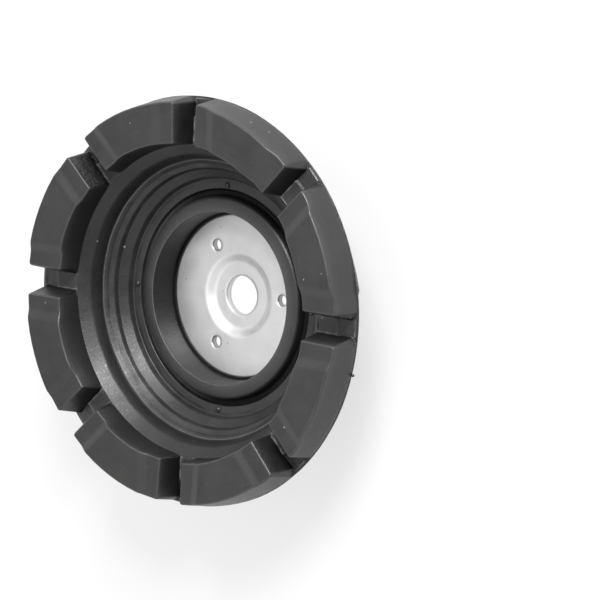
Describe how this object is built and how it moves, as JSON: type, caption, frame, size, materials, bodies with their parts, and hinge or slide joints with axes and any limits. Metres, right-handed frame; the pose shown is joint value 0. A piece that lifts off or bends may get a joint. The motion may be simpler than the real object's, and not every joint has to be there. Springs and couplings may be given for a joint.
{
  "type": "strut mount",
  "caption": "Round rubber strut mount: a stepped bowl with a lobed rim, moulded round a pressed steel plate that takes the strut rod.",
  "frame": {"origin": "on the axis of the strut rod's hole, on the face of the plate's dimple that takes the nut", "axes": "+Z along the rod's hole towards the lobes, +X through the middle of a notch"},
  "size_m": [0.1436, 0.1436, 0.043],
  "materials": {
    "rubber": "semi-matt moulded black rubber with light scuffs",
    "plated_steel": "satin zinc-plated sheet"
  },
  "bodies": {
    "root": {"rubber_body": "rubber", "inner_plate": "plated_steel"}
  },
  "joints": []
}
